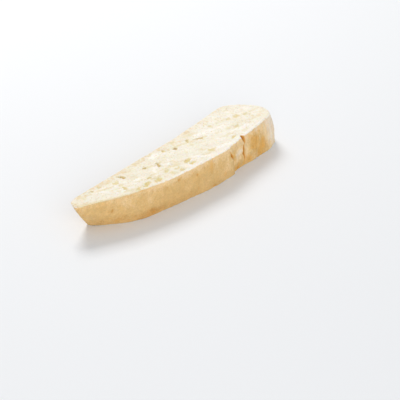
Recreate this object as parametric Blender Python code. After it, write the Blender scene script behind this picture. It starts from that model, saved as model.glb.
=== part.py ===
# One slice of a twice-baked biscuit, cut on the bias from a low domed loaf.
# It lies on one cut face. Units are metres, +Z is up, X runs along the loaf's flat
# baked base, the domed crust faces -Y and the base crust faces +Y.
import bmesh
import bpy
import numpy as np
from mathutils import Matrix, Vector, noise

MM = 0.001

# Driving dimensions
THICKNESS = 17 * MM
DOME_RISE = 28.8 * MM  # from the base crust to the top of the dome
BASE_Y = 13.8 * MM  # line of the nearly flat base crust
UPPER_ENDS = (-69.2 * MM, 65.5 * MM)  # pointed end and blunt end of the upper cut face
LOWER_ENDS = (-55.9 * MM, 69 * MM)  # the bias cut carries the lower face to the right
EDGE_ROUND = 0.6 * MM  # crumbled edge between a cut face and the crust
WALL_BULGE = 0.5 * MM  # how far the crust stands proud between the two faces
CRUST_LUMPS = 0.35 * MM  # height of the crust's low unevenness
LUMP_SIZE = 14 * MM

# Spacing of the mesh
POINTS_PER_SPAN = 12
RING_POINTS = 230
LEVELS = (0, 0.09, 0.27, 0.5, 0.73, 0.91, 1)

# Outline of the two cut faces, from the base's left corner round the pointed end, over
# the dome and round the blunt end: share of the face's length, then the height above the
# base as a share of the dome's rise, on the upper face and on the lower one.
OUTLINE = (
    (0.030, 0.00, 0.00), (0.010, 0.07, 0.00), (0.005, 0.15, 0.055), (0.022, 0.23, 0.205),
    (0.060, 0.33, 0.372), (0.100, 0.428, 0.52), (0.155, 0.552, 0.655), (0.220, 0.668, 0.74),
    (0.310, 0.787, 0.818), (0.400, 0.871, 0.891), (0.500, 0.93, 0.967), (0.600, 0.975, 1.00),
    (0.670, 0.995, 1.00), (0.740, 0.97, 0.98), (0.830, 0.92, 0.96), (0.910, 0.885, 0.955),
    (0.965, 0.835, 0.87), (0.998, 0.62, 0.66), (0.988, 0.37, 0.38), (0.955, 0.14, 0.12),
    (0.910, 0.01, 0.00), (0.800, 0.018, 0.005), (0.650, 0.038, 0.012), (0.500, 0.036, 0.012),
    (0.350, 0.012, 0.005), (0.180, -0.005, 0.00),
)

# Where the loaf split open in the oven, a strip of the dome lies lower than the crust
# beside it: its left edge, its right edge and its depth, on the lower and the upper face.
TORN_STRIP = {
    "left": (25 * MM, 21 * MM),
    "right": (41.5 * MM, 40.5 * MM),
    "depth": (1.5 * MM, 0.7 * MM),
    "step": 1.6 * MM,  # width of the sharp left edge
}
# Cracks along that strip, from the upper face down: X, share of the thickness, width at
# the surface and depth, in mm.
CRACKS = (
    ((32.9, 1.10, 2.6, 1.1), (34.5, 0.88, 2.4, 1.4), (35.5, 0.72, 1.0, 1.3),
     (35.4, 0.45, 0.7, 1.1), (35.9, 0.10, 0.5, 0.8)),
    ((20.4, 0.93, 0.8, 0.5), (22.2, 0.66, 1.4, 0.9), (24.5, 0.46, 0.9, 0.6)),
)

# Air holes in the upper cut face: X, Y, length, width and depth in mm, turn in degrees
PORES = (
    (-33.6, 8.6, 3.2, 1.6, 1.3, 20), (-36.9, 10.3, 1.8, 1.1, 0.8, 10),
    (-13.9, 2.6, 3.0, 1.6, 1.4, -35), (-20.0, 6.2, 2.4, 1.3, 1.0, 15),
    (3.8, 5.8, 3.4, 1.7, 1.3, 10), (-1.1, 8.4, 1.9, 1.0, 0.7, 25),
    (13.1, 5.4, 2.6, 1.3, 1.0, 25), (19.9, 2.4, 6.4, 1.5, 1.0, -27),
    (-26.3, -6.2, 4.6, 1.8, 0.9, 12), (-32.3, -5.2, 4.4, 1.7, 0.9, 10),
    (-37.6, -3.4, 3.2, 1.4, 0.7, 8), (-41.5, 1.0, 2.2, 1.1, 0.6, 30),
    (-17.7, -4.8, 2.6, 1.5, 0.9, -20), (-3.5, -7.8, 4.2, 1.6, 0.8, 5),
    (14.0, -9.2, 4.8, 1.3, 0.7, -8), (8.1, -9.4, 2.0, 1.0, 0.6, 10),
    (39.7, -4.0, 5.4, 1.2, 0.7, -22), (30.5, -9.4, 3.0, 0.9, 0.5, -15),
    (49.9, 2.4, 2.8, 1.2, 0.6, 10), (44.9, 3.6, 3.4, 1.4, 0.6, 20),
    (-52.5, 5.6, 2.6, 1.0, 0.6, 15), (27.5, 8.9, 2.2, 1.0, 0.6, 0),
)


def clear_scene():
    for obj in list(bpy.data.objects):
        bpy.data.objects.remove(obj)


def blend(pair, level):
    """A value that goes from the lower face's to the upper face's."""
    lower, upper = pair
    return lower + (upper - lower) * min(max(level, 0), 1)


def smooth_loop(corners):
    """Centripetal Catmull-Rom curve through a closed loop of corners."""

    def between(p, q, start, end, t):
        return ((end - t) * p + (t - start) * q) / (end - start)

    curve = []
    for i in range(len(corners)):
        a, b, c, d = (corners[(i + k) % len(corners)] for k in (-1, 0, 1, 2))
        steps = [np.linalg.norm(q - p) ** 0.5 for p, q in ((a, b), (b, c), (c, d))]
        k0, k1, k2, k3 = np.cumsum([0, *steps])
        t = np.linspace(k1, k2, POINTS_PER_SPAN, endpoint=False)[:, None]
        abc = between(between(a, b, k0, k1, t), between(b, c, k1, k2, t), k0, k2, t)
        bcd = between(between(b, c, k1, k2, t), between(c, d, k2, k3, t), k1, k3, t)
        curve.append(between(abc, bcd, k1, k2, t))
    return np.concatenate(curve)


def face_outlines():
    """The lower and the upper outline, point for point, spaced evenly along the upper."""
    curves = []
    for (left, right), column in ((LOWER_ENDS, 2), (UPPER_ENDS, 1)):
        corners = [
            (left + row[0] * (right - left), BASE_Y - row[column] * DOME_RISE) for row in OUTLINE
        ]
        curve = smooth_loop(np.array(corners))
        curves.append(np.vstack([curve, curve[:1]]))
    lengths = np.linalg.norm(np.diff(curves[1], axis=0), axis=1)
    along = np.concatenate([[0], np.cumsum(lengths)])
    stops = np.linspace(0, along[-1], RING_POINTS, endpoint=False)
    return [
        np.stack([np.interp(stops, along, curve[:, k]) for k in (0, 1)], axis=1)
        for curve in curves
    ]


def outward(ring):
    """Unit vectors in XY that point out of a closed ring."""
    x, y = ring.T
    along = np.roll(ring, -1, axis=0) - np.roll(ring, 1, axis=0)
    turning = np.sum(x * np.roll(y, -1) - np.roll(x, -1) * y)
    side = np.stack([along[:, 1], -along[:, 0]], axis=1) * np.sign(turning)
    return side / np.linalg.norm(side, axis=1)[:, None]


def torn_depth(ring, level):
    """How far the torn strip lies below the dome: a sharp step, then a long fade."""
    left, right, depth = (blend(TORN_STRIP[key], level) for key in ("left", "right", "depth"))
    step = np.clip((ring[:, 0] - left) / TORN_STRIP["step"], 0, 1)
    fade = np.clip((right - ring[:, 0]) / (0.4 * (right - left)), 0, 1)
    return depth * step * fade * (ring[:, 1] < 0)


def wall_ring(level):
    """The crust's outline at a share of the thickness, 0 at the lower face."""
    ring = blend(face_outlines(), level)
    lumps = [noise.noise(Vector((x, y, level * THICKNESS)) / LUMP_SIZE) for x, y in ring]
    offset = WALL_BULGE * np.sin(np.pi * level) + CRUST_LUMPS * np.array(lumps)
    return ring + outward(ring) * (offset - torn_depth(ring, level))[:, None]


def dome_y(x, level):
    """Y of the domed crust at X, at a share of the thickness."""
    ring = wall_ring(min(max(level, 0), 1))
    dome = ring[ring[:, 1] < 0]
    dome = dome[np.argsort(dome[:, 0])]
    return float(np.interp(x, dome[:, 0], dome[:, 1]))


def new_object(name, bm):
    mesh = bpy.data.meshes.new(name)
    bm.to_mesh(mesh)
    bm.free()
    obj = bpy.data.objects.new(name, mesh)
    bpy.context.scene.collection.objects.link(obj)
    return obj


def build_slice():
    """The solid between the two cut faces, with its crumbled edges rounded."""
    bm = bmesh.new()
    rings = [
        [bm.verts.new((x, y, level * THICKNESS)) for x, y in wall_ring(level)]
        for level in LEVELS
    ]
    for low, high in zip(rings, rings[1:]):
        for i in range(RING_POINTS):
            j = (i + 1) % RING_POINTS
            bm.faces.new((low[i], low[j], high[j], high[i]))
    caps = [bm.faces.new(rings[0]), bm.faces.new(rings[-1])]
    rims = {edge for cap in caps for edge in cap.edges}
    bmesh.ops.recalc_face_normals(bm, faces=bm.faces)
    bmesh.ops.bevel(bm, geom=list(rims), offset=EDGE_ROUND, segments=2, profile=0.5, affect="EDGES")
    return new_object("biscuit_slice", bm)


def cut_away(target, name, bm):
    """Takes a closed cutter away from the target. The cutter stays in the file, hidden."""
    bmesh.ops.recalc_face_normals(bm, faces=bm.faces)
    cutter = new_object(name, bm)
    cutter.hide_render = True
    cutter.display_type = "WIRE"
    cut = target.modifiers.new(name, "BOOLEAN")
    cut.operation = "DIFFERENCE"
    cut.object = cutter


def cut_cracks(target):
    """Wedges that run down the domed crust, widest at its surface."""
    bm = bmesh.new()
    proud = 1.5 * MM
    for path in CRACKS:
        rings = []
        for x, level, width, depth in path:
            x, z = x * MM, level * THICKNESS
            y = dome_y(x, level)
            half = 0.5 * width * MM * (1 + proud / (depth * MM))
            corners = ((x - half, y - proud), (x + half, y - proud), (x, y + depth * MM))
            rings.append([bm.verts.new((*corner, z)) for corner in corners])
        for high, low in zip(rings, rings[1:]):
            for i in range(3):
                j = (i + 1) % 3
                bm.faces.new((high[i], high[j], low[j], low[i]))
        bm.faces.new(rings[0])
        bm.faces.new(rings[-1])
    cut_away(target, "crack_cutter", bm)


def cut_pores(target):
    """Flattened ellipsoids sunk into the upper cut face."""
    bm = bmesh.new()
    for x, y, length, width, depth, turn in PORES:
        place = (
            Matrix.Translation((x * MM, y * MM, THICKNESS))
            @ Matrix.Rotation(np.radians(turn), 4, "Z")
            @ Matrix.Diagonal((0.5 * length * MM, 0.5 * width * MM, depth * MM, 1))
        )
        bmesh.ops.create_icosphere(bm, subdivisions=2, radius=1, matrix=place)
    cut_away(target, "pore_cutter", bm)


def baked_biscuit():
    material = bpy.data.materials.new("baked_biscuit")
    material.use_nodes = True
    shader = material.node_tree.nodes["Principled BSDF"]
    shader.inputs["Base Color"].default_value = (0.83, 0.66, 0.40, 1)
    shader.inputs["Roughness"].default_value = 0.85
    shader.inputs["Metallic"].default_value = 0
    return material


def main():
    clear_scene()
    biscuit = build_slice()
    cut_cracks(biscuit)
    cut_pores(biscuit)
    biscuit.data.materials.append(baked_biscuit())


main()
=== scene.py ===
# One slice of a twice-baked biscuit, lying on a cut face: its domed crust to the front and
# its flat baked base behind. The holes and streaks of the crumb and the splits of the crust
# are real mesh.
import math

import bpy
import numpy as np
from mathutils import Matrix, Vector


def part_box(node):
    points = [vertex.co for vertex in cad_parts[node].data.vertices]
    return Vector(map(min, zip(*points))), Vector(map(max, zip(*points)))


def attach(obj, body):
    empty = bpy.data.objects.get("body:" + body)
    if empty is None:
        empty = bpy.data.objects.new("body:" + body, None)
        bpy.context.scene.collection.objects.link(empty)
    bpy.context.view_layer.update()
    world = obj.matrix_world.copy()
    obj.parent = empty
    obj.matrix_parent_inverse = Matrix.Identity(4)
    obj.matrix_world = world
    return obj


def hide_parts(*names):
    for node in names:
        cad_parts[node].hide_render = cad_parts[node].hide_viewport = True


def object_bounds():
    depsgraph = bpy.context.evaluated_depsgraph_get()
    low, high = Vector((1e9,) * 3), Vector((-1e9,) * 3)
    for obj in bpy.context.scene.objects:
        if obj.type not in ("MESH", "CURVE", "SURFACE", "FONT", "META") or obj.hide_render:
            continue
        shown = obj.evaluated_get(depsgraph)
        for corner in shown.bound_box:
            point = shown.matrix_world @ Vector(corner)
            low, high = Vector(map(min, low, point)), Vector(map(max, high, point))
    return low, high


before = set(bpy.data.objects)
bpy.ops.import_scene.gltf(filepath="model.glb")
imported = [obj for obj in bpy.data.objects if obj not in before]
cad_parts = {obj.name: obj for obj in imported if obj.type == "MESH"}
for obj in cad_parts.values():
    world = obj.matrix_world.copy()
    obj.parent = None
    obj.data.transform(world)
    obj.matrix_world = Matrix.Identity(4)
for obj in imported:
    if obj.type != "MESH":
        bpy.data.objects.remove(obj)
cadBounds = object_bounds()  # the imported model's own box
mm = 0.001

# The shape of the slice. Lengths are in mm, and X, Y are the frame's own.
biscottoSlice = {
    "name": "biscottoSlice",
    "columns": 372,  # grid lines along the slice
    "rows": 80,  # grid lines from the dome to the base
    "wallLevels": 34,  # steps of the crust between its two rounded edges
    "edgeSteps": 3,  # steps of each half of a rounded edge
    "samplesPerSpan": 24,  # points of the outline's curve from one corner to the next
    "relaxing": 700,  # rounds of evening out the grid of a cut face
    "bumpReach": (0.06, 0.40),  # how far in the edge's bumps die away: share of length and width
    # ends of the two cut faces, and the base and dome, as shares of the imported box
    "upperEnds": (-0.008, 0.976),
    "lowerEnds": (0.089, 1.002),
    "baseLine": 0.988,
    "domeRise": 0.967,
    "edgeRound": 0.6,  # radius of the edges between crust and crumb
    "edgeVary": (0.77, 0.63),  # how unevenly the edges crumbled: in the large and in the small
    "edgeLimits": (0.4, 2.0),  # least and most, as shares of that radius
    "baseEdge": 0.6,  # how round the edge is along the base, as a share
    "bulge": 0.5,  # how far the crust stands out half way up
    "lumps": 0.35,
    "lumpSize": 14,
}

# Outline of the cut faces, from the base's left corner round the point, over the dome and
# round the blunt end: share of the length, then of the rise on the upper and lower face.
cutOutline = (
    (0.030, 0.00, 0.004), (0.010, 0.07, 0.020), (0.005, 0.15, 0.075), (0.022, 0.23, 0.205),
    (0.060, 0.33, 0.372), (0.100, 0.428, 0.52), (0.155, 0.552, 0.655), (0.220, 0.668, 0.74),
    (0.310, 0.787, 0.818), (0.400, 0.871, 0.891), (0.500, 0.93, 0.967), (0.600, 0.975, 1.00),
    (0.670, 0.995, 1.00), (0.740, 0.97, 0.98), (0.830, 0.92, 0.96), (0.910, 0.885, 0.955),
    (0.965, 0.835, 0.87), (0.998, 0.62, 0.66), (0.988, 0.37, 0.38), (0.955, 0.14, 0.12),
    (0.910, 0.01, 0.00), (0.800, 0.018, 0.005), (0.650, 0.038, 0.012), (0.500, 0.036, 0.012),
    (0.350, 0.012, 0.005), (0.180, -0.005, 0.00),
)
# where the point end, the dome, the blunt end and the base begin, in rows of that table
outlineCorners = (0.5, 2.5, 16, 19.5, 26.5)


# Noise and small helpers

# the twelve directions from the middle of a cube to its edges
edgeDirections = np.array(
    [(x, y, z) for x in (-1, 0, 1) for y in (-1, 0, 1) for z in (-1, 0, 1)
     if abs(x) + abs(y) + abs(z) == 2],
    float,
)


def latticeNoise(points, size, seed):
    # Gradient noise, about -1 to 1: each corner of a cubic lattice gets a direction from a
    # whole-number hash, and their slopes are blended with the fade 6t^5 - 15t^4 + 10t^3.
    # The size is in mm, and the seed picks the pattern.
    place = points / size
    cell = np.floor(place).astype(np.int64)
    part = place - cell
    fade = part ** 3 * (part * (part * 6 - 15) + 10)
    total = np.zeros(place.shape[:-1])
    for x, y, z in np.ndindex(2, 2, 2):
        corner = np.array((x, y, z))
        key = (cell + corner) @ np.array((73856093, 19349663, 83492791)) + seed * 668265263
        key = ((key ^ (key >> 13)) * 1274126177) & 0x7FFFFFFF
        slope = edgeDirections[((key ^ (key >> 11)) & 0x7FFFFFFF) % 12]
        share = np.prod(np.where(corner, fade, 1 - fade), axis=-1)
        total += share * np.sum(slope * (part - corner), axis=-1)
    return total


def layeredNoise(points, size, seed):
    # Noise, plus noise of half the size and half the height.
    return latticeNoise(points, size, seed) + latticeNoise(points, size / 2, seed + 17) / 2


def smoothStep(value, start, end):
    # 0 before start, 1 after end, and 3t^2 - 2t^3 between.
    t = np.clip((value - start) / (end - start), 0, 1)
    return t * t * (3 - 2 * t)


def bump(value, centre, width):
    # Bell curve of height 1.
    return np.exp(-(((value - centre) / width) ** 2))


def mix(low, high, share):
    # Straight blend from low to high.
    return low + (high - low) * share


def turned(x, y, degrees):
    # Coordinates along and across a direction turned from +X.
    c, s = math.cos(math.radians(degrees)), math.sin(math.radians(degrees))
    return x * c + y * s, y * c - x * s


# The outline of the slice at both faces

def smoothLoop(corners, perSpan):
    # Centripetal Catmull-Rom curve through a closed loop: each point is a blend of blends,
    # its knots spaced by the square root of the chords.
    a, b, c, d = (np.roll(corners, k, axis=0)[:, None] for k in (1, 0, -1, -2))
    k1 = np.linalg.norm(b - a, axis=2, keepdims=True) ** 0.5
    k2 = k1 + np.linalg.norm(c - b, axis=2, keepdims=True) ** 0.5
    k3 = k2 + np.linalg.norm(d - c, axis=2, keepdims=True) ** 0.5
    t = mix(k1, k2, np.linspace(0, 1, perSpan, endpoint=False)[None, :, None])

    def between(p, q, start, end):
        return ((end - t) * p + (t - start) * q) / (end - start)

    abc = between(between(a, b, 0, k1), between(b, c, k1, k2), 0, k2)
    bcd = between(between(b, c, k1, k2), between(c, d, k2, k3), k1, k3)
    return between(abc, bcd, k1, k2).reshape(-1, 2)


def crossShares(rows):
    # Shares from 0 to 1 across the face, closer together at both edges.
    t = np.linspace(0, 1, rows)
    return t - 0.055 * np.sin(2 * np.pi * t)


def faceLoops(spec, low, high):
    # The lower and the upper outline, point for point: the table's corners joined by a
    # smooth curve, then cut into steps of equal length, finer round the splits.
    size = high - low
    base = low[1] + spec["baseLine"] * size[1]
    curves = []
    for ends, column in ((spec["lowerEnds"], 2), (spec["upperEnds"], 1)):
        left, right = (low[0] + share * size[0] for share in ends)
        table = np.array(cutOutline)
        corners = np.stack([
            mix(left, right, table[:, 0]),
            base - table[:, column] * spec["domeRise"] * size[1],
        ], axis=1)
        curves.append(smoothLoop(corners, spec["samplesPerSpan"]))
    closed = np.vstack([curves[1], curves[1][:1]])
    middle = (closed[1:] + closed[:-1]) / 2
    finer = 1 + 1.2 * bump(middle[:, 0], 32, 6)
    steps = np.linalg.norm(np.diff(closed, axis=0), axis=1) * finer
    along = np.concatenate([[0], np.cumsum(steps)])
    corner = (np.array(outlineCorners) * spec["samplesPerSpan"]).astype(int)
    turns, index = np.divmod(corner, len(along) - 1)
    marks = along[index] + turns * along[-1]
    across, lengthwise = crossShares(spec["rows"]), np.linspace(0, 1, spec["columns"])
    stops = np.concatenate([
        mix(marks[0], marks[1], across[:-1]),
        mix(marks[1], marks[2], lengthwise[:-1]),
        mix(marks[2], marks[3], across[:-1]),
        mix(marks[3], marks[4], lengthwise[:-1]),
    ])
    places = np.interp(stops % along[-1], along, np.arange(len(along)))
    loops = []
    for curve in curves:
        curve = np.vstack([curve, curve[:1]])
        loops.append(np.stack(
            [np.interp(places, np.arange(len(curve)), curve[:, k]) for k in (0, 1)], axis=1
        ))
    return loops


def outwardOf(loop):
    # Unit vectors in XY at right angles to a counter-clockwise loop.
    along = np.roll(loop, -1, axis=0) - np.roll(loop, 1, axis=0)
    side = np.stack([along[:, 1], -along[:, 0]], axis=1)
    return side / np.linalg.norm(side, axis=1)[:, None]


# The crust

crust = {
    # where the loaf split in the oven, a strip of the dome lies lower: its edges and depth
    # on the lower and upper face, and the width of its sharp left edge
    "tornLeft": (25, 20.5),
    "tornRight": (41.5, 40.5),
    "tornDepth": (1.5, 0.7),
    "tornStep": 1.6,
    "tornFade": 0.4,  # share of the strip's width over which it rises again
    # splits, from the upper face down: X, share of the thickness, width and depth
    "splits": (
        ((33, 1.10, 2.5, 1.1), (34.6, 0.88, 2.5, 1.4), (34.7, 0.79, 1.5, 1.3),
         (33.9, 0.74, 1.6, 1.6), (33.4, 0.68, 2, 1.9), (33.6, 0.58, 2.1, 2),
         (34, 0.48, 1.8, 1.8), (34.6, 0.38, 1.2, 1.4), (35.4, 0.14, 0.5, 0.4)),
        ((20.8, 0.88, 0.7, 0.3), (21.6, 0.76, 1.3, 0.7), (22.4, 0.66, 2.4, 1.3),
         (23.4, 0.56, 1.6, 0.8), (24.6, 0.46, 0.7, 0.3)),
    ),
    # small pits: X, share of the thickness, width and depth
    "pits": (
        (-51.5, 0.57, 0.9, 0.5), (-30.4, 0.12, 1.8, 0.5), (-16.6, 0.41, 0.7, 0.4),
        (-15.7, 0.83, 1.5, 0.35), (-3.4, 0.72, 0.9, 0.4), (-22.7, 0.74, 0.8, 0.35),
        (8.5, 0.04, 1.6, 0.6), (29.6, 0.08, 2, 0.5), (45.5, 0.62, 0.9, 0.4),
        (44.6, 0.40, 1, 0.4), (42.8, 0.30, 0.8, 0.3), (13.6, 0.55, 0.7, 0.3),
    ),
    # patches of colour: X, share of the thickness, width, height, and how strong
    "gold": (
        (48, 0.27, 7.5, 8.5, 1), (50.2, 0.36, 3.8, 10, 1), (45.5, 0.48, 3, 4, 0.7),
        (26.9, 0.12, 2.6, 3.4, 0.8), (29.9, 0.16, 3.4, 3.6, 0.8), (34.5, 0.12, 3.6, 3.6, 0.9),
        (38, 0.20, 7, 5.5, 0.8), (16.6, 0.24, 2.8, 3, 0.5), (-61.5, 0.50, 4, 9, 0.8),
        # (-55, 0.16) is painted warm shade at the foot of the point
        (24, 0.62, 2.2, 4, 0.8), (6.3, 0.76, 2.2, 8, 0.6), (-55, 0.16, 14, 5, 0.6),
        (26.5, 0.44, 6, 2.4, 0.5), (-62, 0.88, 14, 3.6, 0.8), (-38, 0.97, 14, 1.2, 0.4),
        (42.8, 0.62, 7.5, 9, 0.9), (39.5, 0.86, 4, 2.4, 0.6), (47.4, 0.80, 1.6, 5, 0.4),
    ),
    "brown": (
        (44.2, 0.53, 2, 2.6, 1), (41.3, 0.44, 2, 2.6, 1), (39.6, 0.60, 1.4, 3, 0.6),
        (46.8, 0.70, 1.6, 2, 0.4), (-16.2, 0.41, 1.3, 1.5, 0.6), (-15.7, 0.83, 2.2, 2, 1),
        (-3.4, 0.72, 1.5, 1.6, 0.9), (-22.7, 0.74, 1.2, 1.4, 0.9), (8.5, 0.06, 2.6, 1.8, 0.8),
        (-31.4, 0.21, 2.4, 1.8, 2.2), (-31, 0.18, 11, 5, 0.30), (-51.5, 0.57, 0.8, 2.8, 1.6),
        # (-54, 0.18) is painted warm shade at the foot of the point
        (13.6, 0.55, 1.2, 1.6, 0.4), (-54, 0.18, 20, 6, 0.5), (-9, 0.50, 1.4, 1.8, 0.4),
        (29.8, 0.06, 2.4, 1.6, 0.7), (20.4, 0.74, 1.8, 4.5, 0.8), (43, 0.40, 6, 4, 0.5),
        (-58, 0.04, 7, 2, 0.9), (-52, 0.03, 12, 1.6, 0.6),
    ),
    "pale": (
        (29.6, 0.57, 8.5, 7.5, 1.7), (21.2, 0.87, 1.6, 2, 0.9), (25.2, 0.32, 1.8, 6, 0.6),
        (33.2, 0.79, 1.2, 1.2, 0.9), (36.4, 0.50, 1.8, 7, 0.5), (49.5, 0.70, 4.5, 3.5, 0.4),
        (46.5, 0.92, 5, 2.4, 0.6), (-45, 0.72, 7, 7, 0.4), (9.5, 0.66, 4, 9, 0.3),
    ),
    # where the crust changes, each as a start and an end
    "baseBegins": (11, 13),  # Y from where the crust is flat, as it lay on the baking tray
    "roughSkin": (38, 44),  # X of the rough skin right of the splits
    "mottling": (36, 43),  # X of its mottled colour
    "sheenX": (47.3, 51.8),  # X where the blunt end's painted sheen begins: a paler tone for light grazing it
    "sheenStopsY": (8, 12.5),  # Y where that end gives way to the base
    "pointSide": (15, 45),  # -X over which the rim takes the colour of the crust
    # heights of the relief
    "stretch": 0.35,  # noise that is drawn out from face to face has its Z shrunk to this
    "waver": (0.35, 0.15),  # of the lines of the splits
    "splitLip": 0.14,
    "uneven": (0.22, 0.10),
    "grain": 0.045,
    "roughness": (0.22, 0.12),  # of the rough skin: drawn out, then small
    "flakes": (0.30, 0.18),  # of the torn strip: drawn out, then small
    "flakeRise": 0.45,  # how far the upper part of the torn strip stands out
    "pinholes": 0.35,
    # tones, from -1 palest (with the blunt end's painted sheen) through 0 pale and 0.5 tan to 1 brown,
    # and changes of tone
    "tone": 0.46,
    "clouds": (0.16, 0.12),  # broad, then drawn out
    "mottled": (0.50, 0.25),  # drawn out, then small
    "footToastAndShade": (0.12, 0.32),  # browner by the lower cut, partly toasting and partly painted shade: in general, and where it is most
    "underPale": 0.40,  # under the upper cut
    "baseBrown": 0.16,
    "splitPale": ((21, 8, 0.16), (36, 4, 0.20)),  # by the splits: X, width and how much
    "rimHighlightAndTan": (0.0, 0.75),  # of the crumbled rim: in general pale, a painted highlight, and tan at the point and the base
    "brownStrength": 0.5,
    "paleStrength": 0.6,
}


def drawnOut(places):
    # Places for noise that is drawn out from one cut face to the other.
    return places * (1, 1, crust["stretch"])


def tornDepth(x, y, level):
    # How far the torn strip lies below the dome: a sharp step, then a long fade.
    left, right, depth = (mix(*crust[key], level) for key in ("tornLeft", "tornRight", "tornDepth"))
    step = np.clip((x - left) / crust["tornStep"], 0, 1)
    fade = np.clip((right - x) / (crust["tornFade"] * (right - left)), 0, 1)
    return depth * step * fade * (y < 0)


def splitDepth(x, y, level, places):
    # Wedges down the dome: depth * (1 - q)^0.8, q being the distance from a wavering line
    # over half the width there. The lips beside a wedge stand a little proud.
    total, lips = np.zeros((2, *x.shape))
    large, small = crust["waver"]
    waver = large * latticeNoise(places, 3.5, 41) + small * latticeNoise(places, 1.2, 42)
    for path in crust["splits"]:
        path = np.array(path)[::-1]
        centre, width, depth = (np.interp(level, path[:, 1], path[:, k]) for k in (0, 2, 3))
        inside = smoothStep(level, path[0, 1] - 0.08, path[0, 1] + 0.04) * (y < 0)
        inside = inside * (1 - smoothStep(level, path[-1, 1] - 0.04, path[-1, 1] + 0.08))
        away = np.abs(x + waver - centre) / (0.5 * width)
        total = np.maximum(total, depth * np.clip(1 - away, 0, 1) ** 0.8 * inside)
        lips += crust["splitLip"] * bump(away, 1.45, 0.45) * inside
    return total, lips


def pitDepth(x, y, level, thickness):
    # Round dents in the dome, each a bell curve.
    total = np.zeros(x.shape)
    for pitX, pitLevel, width, depth in crust["pits"]:
        away = np.hypot(x - pitX, (level - pitLevel) * thickness)
        total += depth * bump(away, 0, 0.5 * width) * (y < 0)
    return total


def patches(x, y, level, thickness, table, ragged):
    # Patches with ragged soft edges: full in the middle of an ellipse whose distance is bent
    # by noise, none beyond 1.4 of it. Overlapping patches take the stronger.
    total = np.zeros(x.shape)
    for patchX, patchLevel, width, height, strength in table:
        away = np.hypot((x - patchX) / (0.5 * width), (level - patchLevel) * thickness / (0.5 * height))
        patch = strength * (1 - smoothStep(away + ragged, 0.2, 1.4))
        total = np.maximum(total, patch * (y < 3))
    return total


def edgeRounds(loop, z, seed, spec):
    # Radius of the crumbled edge at each point of a loop: one plus noise, held within limits.
    places = np.column_stack([loop, np.full(len(loop), z)])
    large, small = spec["edgeVary"]
    noise = large * latticeNoise(places, 5, seed) + small * latticeNoise(places, 1.8, seed + 1)
    sharper = mix(1, spec["baseEdge"], smoothStep(loop[:, 1], *crust["baseBegins"]))
    return spec["edgeRound"] * sharper * np.clip(1 + noise, *spec["edgeLimits"])


def crustTone(x, y, level, places, below, brown, pale):
    # Tone of the crust away from its rims: clouds and mottling, browner by the lower cut (partly
    # toasting, partly painted shade) and on the base, and paler under the upper cut and by the
    # splits. Also the clouds alone.
    tall = drawnOut(places)
    broad, long = crust["clouds"]
    clouds = broad * layeredNoise(places, 7, 174) + long * layeredNoise(tall, 1.9, 175)
    long, small = crust["mottled"]
    mottled = long * latticeNoise(tall, 1.6, 176) + small * latticeNoise(places, 1.0, 177)
    clouds += smoothStep(x, *crust["mottling"]) * (y < 4) * mottled
    most = smoothStep(-x, 5, 25) * (1 - smoothStep(-x, 35, 50))
    tone = crust["tone"] + clouds
    # browner towards the lower cut: toasting, and painted shade
    tone = tone + mix(*crust["footToastAndShade"], most) * (1 - smoothStep(level, 0.02, 0.42))
    under = 1 - smoothStep(below + 0.8 * latticeNoise(places, 4, 180), 0.5, 5.0)
    tone = tone - crust["underPale"] * under * mix(1, 0.5, smoothStep(-x, 25, 50))
    tone = tone + crust["brownStrength"] * brown - crust["paleStrength"] * pale
    for centre, width, amount in crust["splitPale"]:
        tone = tone - amount * bump(x, centre, width)
    return tone + crust["baseBrown"] * (y > 12.5), clouds


def endSheen(x, y, level, places, tone, clouds):
    # Paints the sheen of light grazing the blunt end as a paler tone: palest at its tip, less so
    # by the lower cut, and striped from face to face. Also how far each point takes that painted
    # sheen, with a wandering border.
    tall = drawnOut(places)
    wander = 2.0 * latticeNoise(tall, 4, 178) + 0.8 * latticeNoise(tall, 1.2, 184)
    share = smoothStep(x - 6 * (1 - level) + wander, *crust["sheenX"])
    share = share * (1 - smoothStep(y + wander, *crust["sheenStopsY"]))
    stripes = 0.25 * latticeNoise(places * (1, 1, 0.12), 1.6, 179)
    paintedSheen = 0.30 * (1 - level) ** 2 - 0.40 - 0.35 * smoothStep(x, 53, 60)
    return mix(tone, paintedSheen + 0.5 * clouds + stripes, share), share


def crumbledRim(x, y, places, below):
    # How far the crumb's own colour comes over the rim under the upper cut, widest at the point
    # and narrower at the base, and the tone of the crust there: pale in general, a painted
    # highlight along the edge, and tan at the point and the base.
    worn = 0.60 + 1.3 * smoothStep(-x, 63, 67.5) + 0.30 * latticeNoise(places, 2.2, 181)
    worn = worn * mix(1, 0.55, smoothStep(y, 11.5, 13))
    worn = worn * mix(1, 0.7, smoothStep(-x, *crust["pointSide"]))
    depth = below + 0.15 * latticeNoise(places, 0.9, 182)
    browner = np.maximum(smoothStep(-x, *crust["pointSide"]), smoothStep(y, 9, 12))
    # pale in general, a painted highlight along the edge; tan at the point and the base
    tone = mix(*crust["rimHighlightAndTan"], browner) + 0.5 * latticeNoise(places, 1.4, 185)
    return 1 - smoothStep(depth, 0.45 * worn, 1.1 * worn), tone


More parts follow.
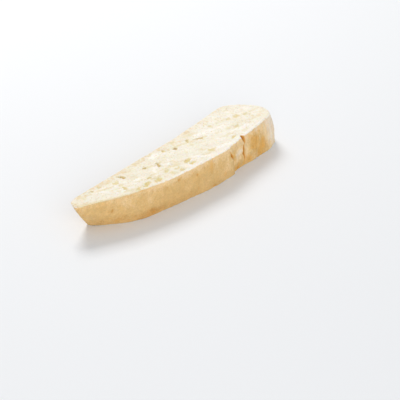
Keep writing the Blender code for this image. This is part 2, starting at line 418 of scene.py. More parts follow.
def crustLooks(x, y, level, thickness, places, below, hollowShade):
    # Colour fields of the crust. "tone" runs from palest at -1, used also for the blunt end's
    # painted sheen, and pale at 0 through tan to brown at 1. "gold" is for the golden patches,
    # which the pale ones and the blunt end's painted sheen cover. "crumb" is how far the crumb's
    # own colour comes over both rims.
    ragged = 0.55 * latticeNoise(places, 3.2, 171) + 0.35 * latticeNoise(places, 1.4, 172)
    gold, brown, pale = (
        patches(x, y, level, thickness, crust[key], ragged) for key in ("gold", "brown", "pale")
    )
    tone, clouds = crustTone(x, y, level, places, below, brown, pale)
    # the blunt end's painted sheen
    tone, paintedSheen = endSheen(x, y, level, places, tone, clouds)
    crumbOver, rimTone = crumbledRim(x, y, places, below)
    tone = mix(tone, rimTone, crumbOver)
    gold = gold * (1 - pale) * (1 - paintedSheen) * (1 - crumbOver)
    gold = gold + 0.5 * crumbOver * smoothStep(-x, 20, 45) * (y < 9)
    foot = 1 - smoothStep(level * thickness + 0.2 * latticeNoise(places, 1.5, 183), 0.15, 0.5)
    return {
        "crumb": np.maximum(crumbOver, foot),
        "hollowShade": hollowShade,
        "tone": np.clip(tone, -1, 1.2),
        "gold": np.clip(gold, 0, 1),
    }


def crustLumps(x, y, places, spec):
    # Unevenness of the crust: noise from large to small, and rough skin right of the splits.
    broad, small = crust["uneven"]
    lumps = spec["lumps"] * latticeNoise(places, spec["lumpSize"], 71)
    lumps += broad * latticeNoise(places, 5.5, 72) + small * layeredNoise(places, 2.2, 73)
    long, small = crust["roughness"]
    rough = long * latticeNoise(drawnOut(places), 1.7, 75) + small * latticeNoise(places, 1.0, 76)
    return lumps + smoothStep(x, *crust["roughSkin"]) * (y < 2) * rough


def tornFlakes(x, y, level, places):
    # Flaky skin of the torn strip between its left edge and the large split: noise, and a
    # step outwards in its upper part.
    left = mix(*crust["tornLeft"], level)
    inside = smoothStep(x, left, left + crust["tornStep"]) * (1 - smoothStep(x, 34.5, 37)) * (y < 0)
    long, small = crust["flakes"]
    flakes = long * latticeNoise(drawnOut(places), 2.4, 77) + small * latticeNoise(places, 1.1, 78)
    rise = smoothStep(level, 0.45, 0.58) * (1 - smoothStep(level, 0.8, 0.9))
    return inside * (flakes + crust["flakeRise"] * rise)


def crustWall(spec, loops, thickness):
    # The crust as rows of points from the lower cut face's edge to the upper's. A row's
    # place is the blend of the two outlines pushed out by bulge * sin(pi * level), lumps
    # and grain, and pulled in by the torn strip, splits, pits and the rounded edges.
    lowRound = edgeRounds(loops[0], 0, 51, spec)
    highRound = edgeRounds(loops[1], thickness, 61, spec)
    quarter = np.radians(np.linspace(45, 0, spec["edgeSteps"] + 1))[:, None]
    straight = np.linspace(0, 1, spec["wallLevels"] + 1)[1:-1, None]
    straight = straight - 0.04 * np.sin(2 * np.pi * straight)
    z = np.concatenate([
        lowRound * (1 - np.sin(quarter)),
        mix(lowRound, thickness - highRound, straight),
        thickness - highRound * (1 - np.sin(quarter[::-1])),
    ])
    inset = np.concatenate([
        lowRound * (1 - np.cos(quarter)),
        np.zeros((len(straight), loops[0].shape[0])),
        highRound * (1 - np.cos(quarter[::-1])),
    ])
    level = z / thickness
    ring = mix(loops[0][None], loops[1][None], level[..., None])
    x, y = ring[..., 0], ring[..., 1]
    places = np.concatenate([ring, z[..., None]], axis=2)
    out = np.stack([outwardOf(row) for row in ring])

    splits, lips = splitDepth(x, y, level, places)
    pits = pitDepth(x, y, level, thickness)
    pinholes = crust["pinholes"] * smoothStep(latticeNoise(places, 1.3, 79), 0.42, 0.62)
    flat = smoothStep(y, *crust["baseBegins"])  # the base is flatter than the dome
    offset = (spec["bulge"] * np.sin(np.pi * level) + crustLumps(x, y, places, spec)) * mix(1, 0.3, flat)
    offset = offset + crust["grain"] * latticeNoise(places, 0.9, 74) + lips
    offset = offset + tornFlakes(x, y, level, places) - tornDepth(x, y, level)
    offset = offset - splits - pits - pinholes - inset
    points = np.concatenate([ring + out * offset[..., None], z[..., None]], axis=2)
    # darker with the depth of splits, pits and pinholes: painted shade
    hollowShade = np.clip(splits / 1.1, 0, 1) + 0.5 * np.clip(pits / 0.5, 0, 1) + 0.8 * pinholes
    looks = crustLooks(x, y, level, thickness, places, thickness - z, hollowShade)
    return points, looks, (lowRound, highRound)


# The crumb of the two cut faces

crumb = {
    "turn": -20,  # which way the streaks of the crumb run, degrees from +X
    # air holes of the upper face: X, Y, length, width, depth, how golden, and turn
    "holes": (
        (-33.2, 9, 2.7, 2.1, 1.1, 0.9, 60), (-34.6, 11.1, 2.3, 1.5, 0.8, 0.9, -40),
        (-13.5, 2.8, 3.6, 2, 1.6, 0.8, 35), (-20, 6.6, 2.7, 1.5, 0.9, 0.9, 25),
        (4.3, 6.2, 2.9, 2.1, 1.4, 0.9, 10), (-1.2, 9, 2.8, 1.6, 0.6, 0.9, 25),
        (14, 6, 3.4, 2.1, 0.6, 1, 30), (19.6, 2.8, 7.6, 1.8, 0.9, 0.9, -22),
        (-32, -4.3, 5.6, 2.1, 0.45, 1, 8), (-25.5, -5.8, 5.2, 2.5, 0.5, 1, 12),
        (-37.5, -3.6, 3.8, 2, 0.35, 0.9, 8), (-41.4, 1.4, 2.8, 1.9, 0.45, 0.9, 30),
        (-39.6, 8, 3.4, 2.3, 0.3, 0.7, 20), (-26, -1.6, 2.8, 1.7, 0.5, 1, 0),
        (-16.6, -4.2, 3.8, 2.3, 0.4, 0.7, 10), (-10.9, -6.3, 3.2, 1.9, 0.35, 0.8, -10),
        (-10.8, -9, 3.4, 1.6, 0.35, 0.9, 0), (-2.2, -5.7, 5, 1.8, 0.45, 1, 5),
        (-2.2, -8.9, 4.6, 1.7, 0.5, 1, 0), (40.5, -4, 3.4, 2.6, 0.35, 0.6, 0),
        (36.7, -2.2, 3, 1.7, 0.25, 0.5, -10), (45, 3.7, 3.2, 2, 0.3, 0.6, 15),
        (49.9, 2.3, 3.8, 3, 0.35, 0.7, 0), (54, -0.4, 3, 2.4, 0.35, 0.7, 0),
        (13.5, -8.6, 4.2, 2.6, 0.3, 0.9, -10), (30.8, -9.4, 3.2, 1.6, 0.3, 0.9, 0),
        (56.3, -6.3, 2.4, 1.8, 0.3, 0.4, 0), (16.3, -5, 1, 0.8, 0.5, 0.2, 0),
        (-40, 4.8, 3.2, 1.8, 0.15, 0.5, 40), (-15.5, -7.2, 2.6, 1.6, 0.2, 0.6, 10),
        (-52.5, 12.2, 2.4, 1, 0.4, 0.8, 15), (-47.6, 11.9, 2.2, 1.2, 0.35, 0.8, -20),
        (8.3, 10.4, 3.6, 1.6, 0.25, 0.5, 0), (-8.4, -2, 2.6, 1.2, 0.1, 0.2, -15),
    ),
    # painted highlights of the upper face, made whiter: X, Y, length, width, strength and turn
    "highlights": (
        (25.5, 4.7, 13, 3.2, 1, -20), (-51, 9, 9, 1.7, 0.8, -50),
        (-18, 1.8, 14, 1.6, 0.8, 47), (-17, 8.9, 5, 2, 0.7, 20),
        (-8, 9.9, 9, 3, 0.9, 0), (5.8, -8.5, 11, 2.2, 0.8, -38),
        (41, -7, 16, 2.4, 0.8, -4), (-46, 2, 9, 2.6, 0.5, -50),
        (25, -5, 12, 3.5, 0.4, -15), (-29.5, 1.5, 7, 2, 0.5, -10),
        (-9, 0.5, 7, 2.4, 0.8, 30), (21, -10.5, 12, 1.8, 0.7, -8),
    ),
    "smallHoles": 150,
    "smallHoleLength": 2.6,  # longest
    "lowerHoles": 30,  # larger holes scattered on the lower face
    "lowerHoleLength": 4.6,  # longest
    # heights of the relief: finer, then broader
    "streakStretch": 0.2,  # the streaks' noise has its length along them shrunk to this
    "streaks": (0.20, 0.26),
    "grain": (0.08, 0.14),
    "swell": 0.22,
    "sponge": 0.26,
    "holeLip": 0.12,
    "edgeShare": 0.293,  # share of the edge's radius that the crust's half of it takes in
    # tones, from 0 white, also used for painted highlights, through 0.5 cream to 1 tan, and changes of
    # tone
    "tone": 0.50,
    "patches": (0.45, 0.50),  # along the streaks, then round
    "specks": (0.50, 0.30),
    "highlightStrength": 0.55,
    "bandTone": 0.95,  # of the baked skin along the base and the blunt end
    "rimHighlightAndTan": (0.05, 0.7),  # along the dome: in general near white, a painted highlight, and tan at the point
}


def spread(dome, base, point, blunt, u, v):
    # Carries values from the four sides over the grid: the blend of dome and base, plus the
    # blend of both ends, less the blend of the four corners. u and v are the weights of the
    # two ends and of the two long sides at each grid line.
    (u0, u1), (v0, v1) = (tuple(w[:, None] for w in pair) for pair in (u, v))
    between = dome[:, None] * v0[None] + base[:, None] * v1[None]
    lengthwise = point[None] * u0[:, None] + blunt[None] * u1[:, None]
    corners = (dome[0] * v0 + base[0] * v1)[None] * u0[:, None]
    corners = corners + (dome[-1] * v0 + base[-1] * v1)[None] * u1[:, None]
    return between + lengthwise - corners


def relax(grid, rounds):
    # Moves each inner point of a grid to the middle of its four neighbours, over and over.
    for _ in range(rounds):
        around = grid[:-2, 1:-1] + grid[2:, 1:-1] + grid[1:-1, :-2] + grid[1:-1, 2:]
        grid[1:-1, 1:-1] = around / 4


def facePatch(loop, ring, spec):
    # The grid of a cut face. It is spread from the smooth outline and relaxed. Then the
    # edge's own bumps and notches are added, dying away inwards. Also returns each grid
    # point's loop number or -1, and the smooth grid.
    columns, rows = spec["columns"], spec["rows"]
    start = rows - 1
    domeSide = start + np.arange(columns)
    bluntSide = start + columns - 1 + np.arange(rows)
    baseSide = (2 * start + 2 * (columns - 1) - np.arange(columns)) % len(loop)
    pointSide = (start - np.arange(rows)) % len(loop)
    sides = (domeSide, baseSide, pointSide, bluntSide)
    u, v = np.linspace(0, 1, columns), crossShares(rows)
    smooth = spread(*(loop[side] for side in sides), (1 - u, u), (1 - v, v))
    relax(smooth, spec["relaxing"])
    shift = ring - loop
    fadeU, fadeV = (
        tuple(1 - smoothStep(w, 0, reach) for w in (share, 1 - share))
        for share, reach in zip((u, v), spec["bumpReach"])
    )
    grid = smooth + spread(*(shift[side] for side in sides), fadeU, fadeV)
    relax(grid, 10)
    onLoop = np.full((columns, rows), -1)
    onLoop[:, 0], onLoop[:, -1] = domeSide, baseSide
    onLoop[0], onLoop[-1] = pointSide, bluntSide
    return grid, onLoop, smooth


def distanceTo(points, line, closed=False):
    # Distance in XY from each point to the nearest segment of a line of points.
    ends = np.roll(line, -1, axis=0) if closed else line[1:]
    starts = line if closed else line[:-1]
    along = ends - starts
    square = np.sum(along ** 2, axis=1)
    found, nearest = [], []
    for part in np.array_split(points, max(1, len(points) // 2000)):
        away = part[:, None] - starts[None]
        share = np.clip(np.sum(away * along[None], axis=2) / square, 0, 1)
        away -= share[..., None] * along[None]
        gap = np.sum(away ** 2, axis=2)
        nearest.append(gap.argmin(axis=1))
        found.append(gap.min(axis=1) ** 0.5)
    return np.concatenate(found), np.concatenate(nearest)


def bends(places, seed):
    # How far noise moves a point of a hole's or stain's outline, in X and in Y.
    return tuple(
        1.0 * latticeNoise(places, 1.9, seed + k) + 0.9 * latticeNoise(places, 0.8, seed + k + 1)
        for k in (0, 2)
    )


def ovals(x, y, table, shifts):
    # For each oval of a table, the points near it, and how far each lies from its middle as
    # a share of its half length and half width.
    for ovalX, ovalY, length, width, *amounts, turn in table:
        reach = length + 1.5
        near = (np.abs(x - ovalX) < reach) & (np.abs(y - ovalY) < reach)
        away = x[near] - ovalX + shifts[0][near], y[near] - ovalY + shifts[1][near]
        along, across = turned(*away, turn)
        yield near, np.hypot(along / (0.5 * length), across / (0.5 * width)), amounts


def holeFields(x, y, holes, shifts):
    # Each hole is depth * (1 - q^2)^0.8, q being the distance from its middle over its half
    # size; overlapping holes take the deeper. Also the pale lip and the golden stain of each.
    total, lip, gold = np.zeros((3, *x.shape))
    for near, q, (depth, golden) in ovals(x, y, holes, shifts):
        total[near] = np.maximum(total[near], depth * np.clip(1 - q ** 2, 0, 1) ** 0.8)
        lip[near] = np.maximum(lip[near], min(depth, 1) * bump(q, 1.35, 0.3))
        gold[near] = np.maximum(gold[near], golden * (1 - smoothStep(q, 0.5, 1.6)))
    return total, lip, gold


def highlightShare(x, y, shifts):
    # How strongly each point takes a painted highlight: full in the middle of one, none well outside it.
    total = np.zeros(x.shape)
    for near, q, (strength,) in ovals(x, y, crumb["highlights"], shifts):
        total[near] = np.maximum(total[near], strength * (1 - smoothStep(q, 0.3, 1.4)))
    return total


def scatteredHoles(count, low, high, longest, seed, turn):
    # Seeded holes over the box of the face, most of them small, roughly along one direction.
    rng = np.random.default_rng(seed)
    share = rng.random(count) ** 2.5
    length = mix(0.8, longest, share)
    width = length * rng.uniform(0.40, 0.70, count)
    return np.column_stack([
        rng.uniform(low[0], high[0], count), rng.uniform(low[1], high[1], count),
        length, width, 0.22 * width + 0.08, rng.uniform(0.1, 0.8, count),
        turn + rng.normal(0, 16, count),
    ])


def allHoles(x, y, places, low, high, inner, upper):
    # Depth and lip of a face's holes, and their stains: the larger ones, and small scattered
    # ones that stay away from the rim. Also how strongly each point takes a painted highlight.
    turn = 0.5 * crumb["turn"]
    small = scatteredHoles(
        crumb["smallHoles"], low, high, crumb["smallHoleLength"], 7 if upper else 8, turn
    )
    if upper:
        large = crumb["holes"]
    else:
        large = scatteredHoles(crumb["lowerHoles"], low, high, crumb["lowerHoleLength"], 9, turn)
        large[:, 4] *= 1.4  # their depth
    shifts = bends(places, 91)
    depth, lip, gold = holeFields(x, y, large, shifts)
    smallDepth, smallLip, smallGold = holeFields(x, y, small, shifts)
    highlight = highlightShare(x, y, shifts) * upper
    depth = np.maximum(depth, smallDepth * inner)
    return depth, np.maximum(lip, 0.6 * smallLip * inner), gold, smallGold * inner, highlight


def crumbLooks(x, places, streakPlaces, streaks, gaps, inner, lip, stains, highlight):
    # Colour fields of the crumb. "tone" runs from white at 0 through cream to tan at 1, the
    # tan being the baked skin that shows along the base and the blunt end. Toward white it
    # also paints highlights, on the listed places and along the dome's edge. "gold" is for
    # yellow stains: those of the holes, a haze, and the rim of the dome at the point.
    rimGap, baseGap, domeGap = gaps
    gold, smallGold = stains
    long, broad = crumb["patches"]
    patch = long * latticeNoise(streakPlaces, 3.1, 191) + broad * layeredNoise(places, 4.5, 192)
    large, small = crumb["specks"]
    speck = large * latticeNoise(places, 1.5, 196) + small * latticeNoise(places, 0.85, 197)
    tone = crumb["tone"] + 0.40 * patch + 0.30 * speck + 0.7 * streaks - 0.35 * lip
    tone = tone - 0.18 * smoothStep(x, -5, 40) + 0.12 * smoothStep(x, 40, 52)
    # whiter where a highlight is painted
    tone = tone - crumb["highlightStrength"] * highlight
    # near the dome's edge the tone goes near white, a painted highlight, and tan towards the point
    rim = 1 - smoothStep(domeGap + 0.6 * latticeNoise(places, 2.5, 195), 0.2, 1.8)
    left = smoothStep(-x, 25, 50)
    tone = mix(tone, mix(*crumb["rimHighlightAndTan"], left), 0.65 * rim)

    ragged = 1.5 * latticeNoise(places, 5.5, 97) + 1.0 * latticeNoise(places, 1.9, 98)
    band = (1 - smoothStep(baseGap + ragged, 1.2, 4.4)) * mix(1, 0.7, smoothStep(x, 20, 50))
    blunt = (1 - smoothStep(rimGap + ragged, 0.8, 3.5)) * smoothStep(x, 50, 60)
    patchy = 0.45 + 0.55 * smoothStep(latticeNoise(places, 2.2, 198), -0.25, 0.25)
    band = np.maximum(band, 0.7 * blunt) * patchy * (1 - 0.7 * highlight)
    bandTone = crumb["bandTone"] + 0.4 * latticeNoise(places, 1.6, 194)
    tone = mix(tone, bandTone, 0.95 * band)

    haze = smoothStep(layeredNoise(streakPlaces, 3.4, 193) + 0.5 * speck, 0.08, 0.6)
    gold = np.maximum(gold * (1 + 0.5 * speck), 0.8 * smallGold)
    gold = np.maximum(gold, mix(0.5, 0.3, smoothStep(x, -5, 40)) * haze * inner)
    gold = np.maximum(gold * (1 - 0.5 * band), 0.4 * rim * left)
    return {"tone": np.clip(tone, -0.2, 1.2), "gold": np.clip(gold, 0, 1)}


def crumbSurface(spec, grid, ring, rounds, z, upper):
    # Depth below the flat of the cut at each grid point, and the colour fields. The depth is
    # that of the rounded edge, a quarter circle of its own radius, and inside it the holes,
    # the spongy dents, the streaks drawn out by the knife, and grain.
    x, y = grid[:, 0], grid[:, 1]
    along, across = turned(x, y, crumb["turn"])
    height = np.full(len(grid), z)
    places = np.column_stack([grid, height])
    streakPlaces = np.column_stack([along * crumb["streakStretch"], across, height])
    spongePlaces = np.column_stack([along * 0.6, across, height])

    rimGap, nearest = distanceTo(grid, ring, closed=True)
    baseGap, _ = distanceTo(grid, ring[len(ring) - spec["columns"] - 6:])
    domeGap, _ = distanceTo(grid, ring[spec["rows"] // 2:spec["rows"] + spec["columns"] + 10])
    radius = rounds[nearest]
    inset = crumb["edgeShare"] * radius + rimGap
    edge = radius - np.sqrt(np.clip(radius ** 2 - np.clip(radius - inset, 0, None) ** 2, 0, None))
    inner = smoothStep(rimGap, 0.9, 3.2)
    calm = smoothStep(rimGap, 0, 0.7)

    fine, broad = crumb["streaks"]
    streaks = fine * latticeNoise(streakPlaces, 1.2, 81) + broad * latticeNoise(streakPlaces, 2.6, 82)
    fine, broad = crumb["grain"]
    streaks += fine * latticeNoise(places, 0.95, 83) + broad * latticeNoise(places, 2.3, 84)
    low, high = ring.min(axis=0), ring.max(axis=0)
    holes, lip, *stains, highlight = allHoles(x, y, places, low, high, inner, upper)
    sponge = crumb["sponge"] * smoothStep(latticeNoise(spongePlaces, 1.4, 99), 0.2, 0.65)
    depth = np.maximum(holes, sponge * inner)
    lip = lip * (1 - smoothStep(depth, 0, 0.15))
    relief = streaks * mix(0.35, 1, inner) + crumb["swell"] * latticeNoise(places, 8, 85)
    below = edge + calm * (depth + relief - crumb["holeLip"] * lip)

    gaps = (rimGap, baseGap, domeGap)
    looks = crumbLooks(x, places, streakPlaces, streaks, gaps, inner, lip, stains, highlight)
    looks["crumb"] = np.ones(len(x))
    # darker with the depth of holes and dents: painted shade
    looks["hollowShade"] = calm * np.clip(depth / 1.4, 0, 1)
    return below, looks


# Putting the slice together

def gridCorners(values, flip=False):
    # The four corners of each cell of a grid of values, the other way round when flipped.
    a, b, c, d = values[:-1, :-1], values[1:, :-1], values[1:, 1:], values[:-1, 1:]
    cells = np.stack([a, b, c, d], axis=2).reshape(-1, 4, *values.shape[2:])
    return cells[:, ::-1] if flip else cells


def flatMap(loop, smooth, thickness, levels):
    # Where each face corner lies when the skin is laid out flat without overlaps: the crust
    # in two strips, by its way round the loop and its height, and the cut faces above them,
    # both by the smooth grid of the upper one.
    gap = 3.0
    steps = np.linalg.norm(np.roll(loop, -1, axis=0) - loop, axis=1)
    along = np.concatenate([[0], np.cumsum(steps)])
    rise = np.linspace(0, thickness, levels)
    half = len(loop) // 2
    parts, height = [], 0.0
    for first, last in ((0, half), (half, len(loop))):
        s, t = np.meshgrid(along[first:last + 1] - along[first], rise + height, indexing="ij")
        parts.append(gridCorners(np.stack([s, t], axis=-1)))
        height += thickness + gap
    for upper in (True, False):
        flat = smooth if upper else smooth * (-1, 1)
        flat = flat - flat.reshape(-1, 2).min(axis=0) + (0, height)
        parts.append(gridCorners(flat, flip=not upper))
        height = flat[..., 1].max() + gap
    corners = np.concatenate(parts)
    return 0.004 + 0.992 * corners / corners.reshape(-1, 2).max(axis=0)


def meshPiece(name, points, faces, looks, flat):
    # One mesh from whole arrays, with its smooth faces, its looks as point values, and its
    # flat map.
    mesh = bpy.data.meshes.new(name)
    mesh.from_pydata(points, [], faces)
    mesh.polygons.foreach_set("use_smooth", np.ones(len(faces), bool))
    for key, values in looks.items():
        mesh.attributes.new(key, "FLOAT", "POINT").data.foreach_set("value", values.astype(np.float32))
    layer = mesh.uv_layers.new(name="OFBake", do_init=False)
    layer.uv.foreach_set("vector", flat.astype(np.float32).ravel())
    mesh.update()
    piece = bpy.data.objects.new(name, mesh)
    bpy.context.scene.collection.objects.link(piece)
    return piece


def buildSlice(spec):
    # Joins the rows of the crust and the grids of both cut faces into one closed mesh.
    low, high = (np.array(corner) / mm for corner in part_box("biscuit_slice"))
    thickness = high[2] - low[2]
    loops = faceLoops(spec, low, high)
    wall, wallLooks, rounds = crustWall(spec, loops, thickness)
    levels, count = wall.shape[:2]
    print("crust:", levels, "rows of", count, "points")

    points = [wall.reshape(-1, 3)]
    looks = {key: [values.ravel()] for key, values in wallLooks.items()}
    wallIndex = np.arange(levels * count).reshape(levels, count)
    faces = [gridCorners(np.concatenate([wallIndex, wallIndex[:, :1]], axis=1).T)]
    total = levels * count
    for upper in (True, False):
        ring = wall[-1 if upper else 0, :, :2]
        grid, onLoop, smooth = facePatch(loops[upper], ring, spec)
        if upper:
            flatGrid = smooth
        inside = onLoop < 0
        z = thickness if upper else 0.0
        below, faceLooks = crumbSurface(spec, grid[inside], ring, rounds[upper], z, upper)
        heights = z - below if upper else np.maximum(below, 0)
        index = np.where(inside, 0, (levels - 1 if upper else 0) * count + onLoop)
        index[inside] = total + np.arange(inside.sum())
        total += inside.sum()
        points.append(np.column_stack([grid[inside], heights]))
        for key, values in faceLooks.items():
            looks[key].append(values)
        faces.append(gridCorners(index, flip=not upper))
        print("cut face:", inside.sum(), "points, deepest hole", round(float(below.max()), 2), "mm")

    points = np.concatenate(points)
    faces = np.concatenate(faces)
    looks = {key: np.concatenate(values) for key, values in looks.items()}
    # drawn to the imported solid's own box, side by side
    found = points.min(axis=0), points.max(axis=0)
    points = mix(low, high, (points - found[0]) / (found[1] - found[0]))
    flat = flatMap(loops[1], flatGrid, thickness, levels)
    piece = meshPiece(spec["name"], points * mm, faces, looks, flat)
    print("slice:", len(points), "points,", 2 * len(faces), "triangles")
    return piece


# Materials

def linear(red, green, blue):
    # Screen colour, 0 to 255, as the shader's light values.
    share = np.array((red, green, blue)) / 255
    light = np.where(share <= 0.04045, share / 12.92, ((share + 0.055) / 1.055) ** 2.4)
    return (*map(float, light), 1.0)


def addNode(tree, kind, inputs=None, **settings):
    # One shader node: an input given as a socket is linked, any other value is set.
    node = tree.nodes.new("ShaderNode" + kind)
    for key, value in settings.items():
        setattr(node, key, value)
    for key, value in (inputs or {}).items():
        if isinstance(value, bpy.types.NodeSocket):
            tree.links.new(value, node.inputs[key])
        else:
            node.inputs[key].default_value = value
    return node


def noiseNode(tree, places, scale, detail, rough):
    # Noise from 0 to 1, its scale in waves per mm.
    inputs = {"Vector": places, "Scale": scale, "Detail": detail, "Roughness": rough}
    return addNode(tree, "TexNoise", inputs, noise_dimensions="3D").outputs["Fac"]


def rangeNode(tree, value, start, end, low=0.0, high=1.0):
    # Maps start..end onto low..high, held at both ends, with an S-shaped slope.
    inputs = {"Value": value, "From Min": start, "From Max": end, "To Min": low, "To Max": high}
    return addNode(tree, "MapRange", inputs, interpolation_type="SMOOTHSTEP").outputs["Result"]


def mathNode(tree, operation, a, b):
    # One sum of two numbers or sockets.
    return addNode(tree, "Math", {0: a, 1: b}, operation=operation).outputs[0]


def mixNode(tree, share, a, b, blend="MIX"):
    # Colour a turning into colour b, or blended with it, by a share.
    node = addNode(tree, "Mix", data_type="RGBA", blend_type=blend)
    sockets = {"Factor": node.inputs[0], "A": node.inputs[6], "B": node.inputs[7]}
    for key, value in (("Factor", share), ("A", a), ("B", b)):
        if isinstance(value, bpy.types.NodeSocket):
            tree.links.new(value, sockets[key])
        else:
            sockets[key].default_value = value
    return node.outputs[2]


def lookNode(tree, name):
    # One of the mesh's point values.
    return addNode(tree, "Attribute", attribute_name=name).outputs["Fac"]


bakedColours = {
    # white of the crumb, also used for painted highlights
    "crumbWhiteAndHighlight": linear(252, 247, 238),
    "crumb": linear(243, 236, 219),
    "crumbTan": linear(234, 215, 180),
    "crumbGold": linear(223, 202, 130),
    # holes darken from shallow to deep: painted shade over their golden walls; the shallow colour also
    # tints the fine pores
    "holeShallow": linear(223, 197, 136),
    "holeDeep": linear(204, 160, 70),
    # palest crust, also the painted sheen of the blunt end
    "crustPalestAndSheen": linear(241, 226, 206),
    "crustPale": linear(238, 206, 155),
    "crust": linear(221, 183, 120),
    "crustBrown": linear(205, 155, 84),
    "crustGold": linear(224, 169, 80),
    # splits darken from shallow to deep: painted shade over the orange-brown of their walls
    "splitShallow": linear(214, 154, 66),
    "splitDeep": linear(190, 122, 34),
}


bakedFinish = {
    "roughness": 0.82,
    "scatter": 0.15,  # light that goes into the crumb and out again
    "scatterColours": (1.0, 0.6, 0.3),
    "scatterDepth": 0.0015,  # metres
    "goldStrength": 0.85,
    "poreStrength": 0.55,
    "poreDepth": 0.35,  # beside the grain's 1
    "reliefStrength": 0.6,
    "reliefDepth": 0.0005,  # metres
}


def bakedBiscuit():
    # The crumb has three tones and the crust four, then both take gold, and colours that
    # darken with the depth of a hollow, which is painted shade.
    # Fine noises, in mm, add what the point values are too coarse to show: shifts of tone,
    # pores in the crumb, and grain and freckles on the crust.
    material = bpy.data.materials.new("bakedBiscuit")
    material.use_nodes = True
    tree = material.node_tree
    shader = tree.nodes["Principled BSDF"]
    where = addNode(tree, "TexCoord").outputs["Object"]
    places = addNode(tree, "Mapping", {"Vector": where, "Scale": (1000, 1000, 1000)}).outputs[0]
    hollowShade, gold, tone = (lookNode(tree, name) for name in ("hollowShade", "gold", "tone"))
    colour, finish = bakedColours, bakedFinish
    fine = rangeNode(tree, noiseNode(tree, places, 1.6, 3, 0.65), 0.25, 0.75, -0.16, 0.16)
    tone = mathNode(tree, "ADD", tone, fine)
    grain = rangeNode(tree, noiseNode(tree, places, 0.9, 4, 0.65), 0.3, 0.7, 0.94, 1.06)
    broad = rangeNode(tree, noiseNode(tree, places, 0.3, 2, 0.5), 0.3, 0.7, 0.955, 1.035)
    grain = mathNode(tree, "MULTIPLY", grain, broad)
    pores = rangeNode(tree, noiseNode(tree, places, 1.15, 2, 0.5), 0.54, 0.74)

    inside = mixNode(tree, rangeNode(tree, tone, 0.0, 0.5), colour["crumbWhiteAndHighlight"], colour["crumb"])
    inside = mixNode(tree, rangeNode(tree, tone, 0.55, 1.0), inside, colour["crumbTan"])
    goldShare = mathNode(tree, "MULTIPLY", gold, finish["goldStrength"])
    inside = mixNode(tree, goldShare, inside, colour["crumbGold"])
    poreShare = mathNode(tree, "MULTIPLY", pores, finish["poreStrength"])
    inside = mixNode(tree, poreShare, inside, colour["holeShallow"])
    inside = mixNode(tree, rangeNode(tree, hollowShade, 0.2, 0.6), inside, colour["holeShallow"])
    inside = mixNode(tree, rangeNode(tree, hollowShade, 0.55, 1.0), inside, colour["holeDeep"])

    outside = mixNode(tree, rangeNode(tree, tone, -1.0, 0.0), colour["crustPalestAndSheen"], colour["crustPale"])
    outside = mixNode(tree, rangeNode(tree, tone, 0.0, 0.5), outside, colour["crust"])
    outside = mixNode(tree, rangeNode(tree, tone, 0.5, 1.0), outside, colour["crustBrown"])
    outside = mixNode(tree, goldShare, outside, colour["crustGold"])
    freckles = rangeNode(tree, noiseNode(tree, places, 1.1, 2, 0.5), 0.62, 0.74, 0, 0.5)
    freckles = mathNode(tree, "MULTIPLY", freckles, rangeNode(tree, tone, -0.8, 0.2, 0.35, 1))
    outside = mixNode(tree, freckles, outside, colour["crustBrown"])
    outside = mixNode(tree, 1.0, outside, grain, "MULTIPLY")
    outside = mixNode(tree, rangeNode(tree, hollowShade, 0.1, 0.5), outside, colour["splitShallow"])
    outside = mixNode(tree, rangeNode(tree, hollowShade, 0.5, 1.0), outside, colour["splitDeep"])

    crumbShare = lookNode(tree, "crumb")
    tree.links.new(mixNode(tree, crumbShare, outside, inside), shader.inputs["Base Color"])
    shader.inputs["Roughness"].default_value = finish["roughness"]
    shader.inputs["Subsurface Weight"].default_value = finish["scatter"]
    shader.inputs["Subsurface Radius"].default_value = finish["scatterColours"]
    shader.inputs["Subsurface Scale"].default_value = finish["scatterDepth"]

    sunk = mathNode(tree, "MULTIPLY", pores, finish["poreDepth"])
    sunk = mathNode(tree, "MULTIPLY", sunk, crumbShare)
    height = mathNode(tree, "SUBTRACT", noiseNode(tree, places, 1.3, 5, 0.65), sunk)
    relief = addNode(tree, "Bump", {
        "Height": height, "Strength": finish["reliefStrength"], "Distance": finish["reliefDepth"],
    })
    tree.links.new(relief.outputs["Normal"], shader.inputs["Normal"])
    return material


# Floor, lights and camera

studio = {
    "floorSide": 3.0,  # metres
    "floorColour": (0.83, 0.845, 0.87, 1),
    "floorRoughness": 0.7,
    "skyColour": (1.0, 1.0, 1.0, 1),
    "skyStrength": 0.54,
    # each light: where it is in metres, its side in metres, its power in watts and its colour
    "lights": {
        "backSoftbox": ((0.35, 0.55, 0.75), 0.40, 5.4, (1.0, 0.99, 0.97)),
        "frontFill": ((-0.75, -0.85, 0.45), 0.9, 6.4, (1.0, 1.0, 1.0)),
    },
    # camera: the point it looks at in mm, its distance, and its angles round and above it
    "lookAt": (-5.5, -15.7, 0.0),
    "distance": 1177.0,
    "azimuth": -54.4,
    "elevation": 28.8,
    "lens": 225.0,
    "sensorWidth": 36,
    "clip": (0.05, 20),  # nearest and furthest that it sees, in metres
}


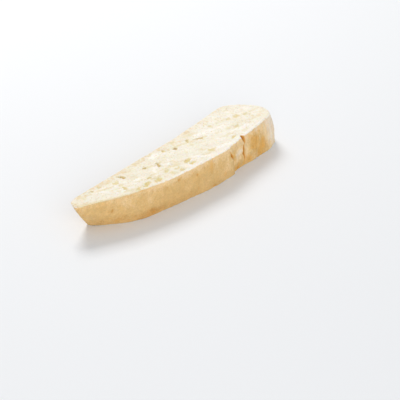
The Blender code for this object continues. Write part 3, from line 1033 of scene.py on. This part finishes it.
def buildFloor():
    # A flat square at the height that the slice lies on.
    side = studio["floorSide"] / 2
    corners = [(-side, -side, 0), (side, -side, 0), (side, side, 0), (-side, side, 0)]
    mesh = bpy.data.meshes.new("studioFloor")
    mesh.from_pydata(corners, [], [(0, 1, 2, 3)])
    floor = bpy.data.objects.new("studioFloor", mesh)
    bpy.context.scene.collection.objects.link(floor)
    material = bpy.data.materials.new("paleFloor")
    material.use_nodes = True
    shader = material.node_tree.nodes["Principled BSDF"]
    shader.inputs["Base Color"].default_value = studio["floorColour"]
    shader.inputs["Roughness"].default_value = studio["floorRoughness"]
    mesh.materials.append(material)


def aim(obj, target):
    # Turns a light or camera so that its -Z points at the target.
    away = obj.location - target
    obj.rotation_euler = away.to_track_quat("Z", "Y").to_euler()


def buildLights():
    # An even sky, and square lamps aimed at the middle of the slice.
    world = bpy.data.worlds.new("studioSky")
    world.use_nodes = True
    sky = world.node_tree.nodes["Background"]
    sky.inputs["Color"].default_value = studio["skyColour"]
    sky.inputs["Strength"].default_value = studio["skyStrength"]
    bpy.context.scene.world = world
    middle = (cadBounds[0] + cadBounds[1]) / 2
    for name, (place, side, power, colour) in studio["lights"].items():
        light = bpy.data.lights.new(name, "AREA")
        light.shape = "SQUARE"
        light.size = side
        light.energy = power
        light.color = colour
        lamp = bpy.data.objects.new(name, light)
        bpy.context.scene.collection.objects.link(lamp)
        lamp.location = place
        aim(lamp, middle)


def buildCamera():
    # The camera stands back from its target along (sin a cos e, -cos a cos e, sin e), where
    # a and e are its angles round and above.
    camera = bpy.data.cameras.new("studioCamera")
    camera.lens = studio["lens"]
    camera.sensor_width = studio["sensorWidth"]
    camera.clip_start, camera.clip_end = studio["clip"]
    holder = bpy.data.objects.new("studioCamera", camera)
    bpy.context.scene.collection.objects.link(holder)
    target = type(cadBounds[0])([value * mm for value in studio["lookAt"]])
    a, e = math.radians(studio["azimuth"]), math.radians(studio["elevation"])
    back = type(target)((math.sin(a) * math.cos(e), -math.cos(a) * math.cos(e), math.sin(e)))
    holder.location = target + back * studio["distance"] * mm
    aim(holder, target)
    bpy.context.scene.camera = holder


bpy.context.scene.view_settings.view_transform = "Standard"
buildFloor()
buildLights()
buildCamera()
print("studio: floor, lights and camera are in place")

biscuit = buildSlice(biscottoSlice)
biscuit.data.materials.append(bakedBiscuit())
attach(biscuit, "root")
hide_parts("biscuit_slice")
print("biscuit: baked and in place")
